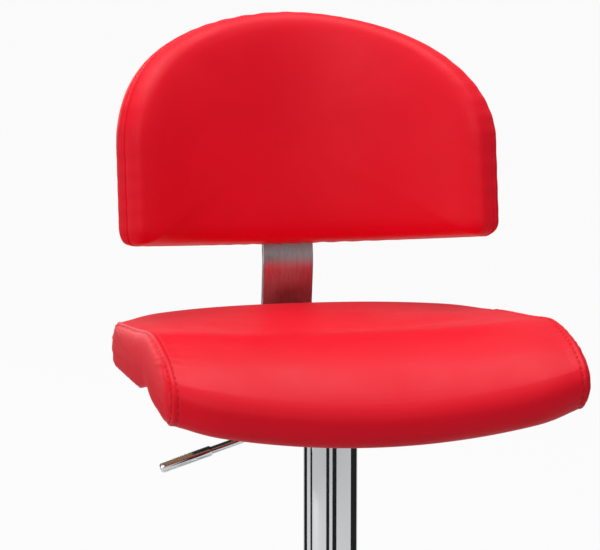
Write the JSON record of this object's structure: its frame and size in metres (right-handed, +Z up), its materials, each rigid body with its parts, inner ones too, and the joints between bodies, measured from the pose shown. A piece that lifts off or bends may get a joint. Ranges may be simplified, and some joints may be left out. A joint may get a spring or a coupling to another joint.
{
  "type": "rolling stylist stool",
  "caption": "Stylist stool with a padded saddle-edged seat, wrap-round backrest on a flat bar, gas lift with lever, and a star base on twin-wheel casters.",
  "frame": {"origin": "on the floor, on the axis of the column", "axes": "+Z up along the column, -Y the way the sitter faces, -X the side of the lever (the sitter's right)"},
  "size_m": [0.5654, 0.5564, 0.7266],
  "materials": {
    "red_vinyl": "semi-gloss upholstery vinyl with a fine grain",
    "foam": "open-cell foam",
    "plywood": "raw plywood",
    "dust_cloth": "thin non-woven cloth",
    "chrome": "polished chrome plating",
    "satin_steel": "satin nickel-plated flat bar",
    "zinc_steel": "zinc-plated",
    "bearing_steel": "ground and hardened",
    "black_plate": "black powder coat",
    "black_tube": "black lacquer",
    "black_nylon": "moulded nylon",
    "rubber": "matt"
  },
  "bodies": {
    "base": {"base_star": "chrome", "caster_stems": "zinc_steel", "caster_grip_rings": "zinc_steel", "column_tube": "chrome", "column_end_plate": "zinc_steel", "column_bush": "black_nylon", "thrust_washer_lower": "zinc_steel", "thrust_balls": "bearing_steel"},
    "lift_rod": {"piston_rod": "bearing_steel", "piston": "black_nylon", "thrust_washer_upper": "zinc_steel", "bump_stop": "rubber", "rod_clip": "zinc_steel"},
    "seat": {"gas_cylinder": "black_tube", "cylinder_gland": "black_nylon", "valve_block": "zinc_steel", "seat_plate": "black_plate", "seat_board": "plywood", "seat_foam": "foam", "seat_cover": "red_vinyl", "seat_side_panel_left": "red_vinyl", "seat_side_panel_right": "red_vinyl", "seat_dust_cover": "dust_cloth", "seat_bolts": "zinc_steel", "seat_washers": "zinc_steel", "seat_t_nuts": "zinc_steel", "back_bar": "satin_steel", "back_board": "plywood", "back_foam": "foam", "back_cover": "red_vinyl", "back_rear_panel": "red_vinyl", "back_bolts": "zinc_steel", "back_washers": "zinc_steel", "back_t_nuts": "zinc_steel"},
    "lever": {"lever_rod": "chrome", "lever_grip": "chrome", "lever_pivot_pin": "zinc_steel"},
    "release_pin": {"release_pin": "bearing_steel"},
    "caster_1": {"caster_1_hood": "black_nylon", "caster_1_axle": "zinc_steel"},
    "caster_1_left": {"caster_1_wheel_left": "black_nylon"},
    "caster_1_right": {"caster_1_wheel_right": "black_nylon"},
    "caster_2": {"caster_2_hood": "black_nylon", "caster_2_axle": "zinc_steel"},
    "caster_2_left": {"caster_2_wheel_left": "black_nylon"},
    "caster_2_right": {"caster_2_wheel_right": "black_nylon"},
    "caster_3": {"caster_3_hood": "black_nylon", "caster_3_axle": "zinc_steel"},
    "caster_3_left": {"caster_3_wheel_left": "black_nylon"},
    "caster_3_right": {"caster_3_wheel_right": "black_nylon"},
    "caster_4": {"caster_4_hood": "black_nylon", "caster_4_axle": "zinc_steel"},
    "caster_4_left": {"caster_4_wheel_left": "black_nylon"},
    "caster_4_right": {"caster_4_wheel_right": "black_nylon"},
    "caster_5": {"caster_5_hood": "black_nylon", "caster_5_axle": "zinc_steel"},
    "caster_5_left": {"caster_5_wheel_left": "black_nylon"},
    "caster_5_right": {"caster_5_wheel_right": "black_nylon"}
  },
  "joints": [
    {"name": "seat_swivel", "type": "hinge", "parent": "base", "child": "lift_rod", "pos_m": [0, 0, 0.07], "axis": [0, 0, 1], "continuous": true},
    {"name": "height", "type": "slide", "parent": "lift_rod", "child": "seat", "axis": [0, 0, 1], "range_m": [0, 0.13]},
    {"name": "lever_lift", "type": "hinge", "parent": "seat", "child": "lever", "pos_m": [-0.041, 0, 0.382], "axis": [0, 1, 0], "range_deg": [0, 3.4], "stiffness_Nm_per_rad": 4},
    {"name": "pin_press", "type": "slide", "parent": "seat", "child": "release_pin", "axis": [0, 0, 1], "range_m": [-0.0026, 0]},
    {"name": "caster_1_swivel", "type": "hinge", "parent": "base", "child": "caster_1", "pos_m": [0, -0.272, 0.05], "axis": [0, 0, 1], "continuous": true},
    {"name": "caster_1_left_roll", "type": "hinge", "parent": "caster_1", "child": "caster_1_left", "pos_m": [0, -0.252, 0.025], "axis": [1, 0, 0], "continuous": true},
    {"name": "caster_1_right_roll", "type": "hinge", "parent": "caster_1", "child": "caster_1_right", "pos_m": [0, -0.252, 0.025], "axis": [1, 0, 0], "continuous": true},
    {"name": "caster_2_swivel", "type": "hinge", "parent": "base", "child": "caster_2", "pos_m": [0.25869, -0.08405, 0.05], "axis": [0, 0, 1], "continuous": true},
    {"name": "caster_2_left_roll", "type": "hinge", "parent": "caster_2", "child": "caster_2_left", "pos_m": [0.25869, -0.06405, 0.025], "axis": [1, 0, 0], "continuous": true},
    {"name": "caster_2_right_roll", "type": "hinge", "parent": "caster_2", "child": "caster_2_right", "pos_m": [0.25869, -0.06405, 0.025], "axis": [1, 0, 0], "continuous": true},
    {"name": "caster_3_swivel", "type": "hinge", "parent": "base", "child": "caster_3", "pos_m": [0.15988, 0.22005, 0.05], "axis": [0, 0, 1], "continuous": true},
    {"name": "caster_3_left_roll", "type": "hinge", "parent": "caster_3", "child": "caster_3_left", "pos_m": [0.15988, 0.24005, 0.025], "axis": [1, 0, 0], "continuous": true},
    {"name": "caster_3_right_roll", "type": "hinge", "parent": "caster_3", "child": "caster_3_right", "pos_m": [0.15988, 0.24005, 0.025], "axis": [1, 0, 0], "continuous": true},
    {"name": "caster_4_swivel", "type": "hinge", "parent": "base", "child": "caster_4", "pos_m": [-0.15988, 0.22005, 0.05], "axis": [0, 0, 1], "continuous": true},
    {"name": "caster_4_left_roll", "type": "hinge", "parent": "caster_4", "child": "caster_4_left", "pos_m": [-0.15988, 0.24005, 0.025], "axis": [1, 0, 0], "continuous": true},
    {"name": "caster_4_right_roll", "type": "hinge", "parent": "caster_4", "child": "caster_4_right", "pos_m": [-0.15988, 0.24005, 0.025], "axis": [1, 0, 0], "continuous": true},
    {"name": "caster_5_swivel", "type": "hinge", "parent": "base", "child": "caster_5", "pos_m": [-0.25869, -0.08405, 0.05], "axis": [0, 0, 1], "continuous": true},
    {"name": "caster_5_left_roll", "type": "hinge", "parent": "caster_5", "child": "caster_5_left", "pos_m": [-0.25869, -0.06405, 0.025], "axis": [1, 0, 0], "continuous": true},
    {"name": "caster_5_right_roll", "type": "hinge", "parent": "caster_5", "child": "caster_5_right", "pos_m": [-0.25869, -0.06405, 0.025], "axis": [1, 0, 0], "continuous": true}
  ],
  "couplings": [
    {"joint": "pin_press", "follows": "lever_lift", "m_per_rad": -0.041}
  ]
}
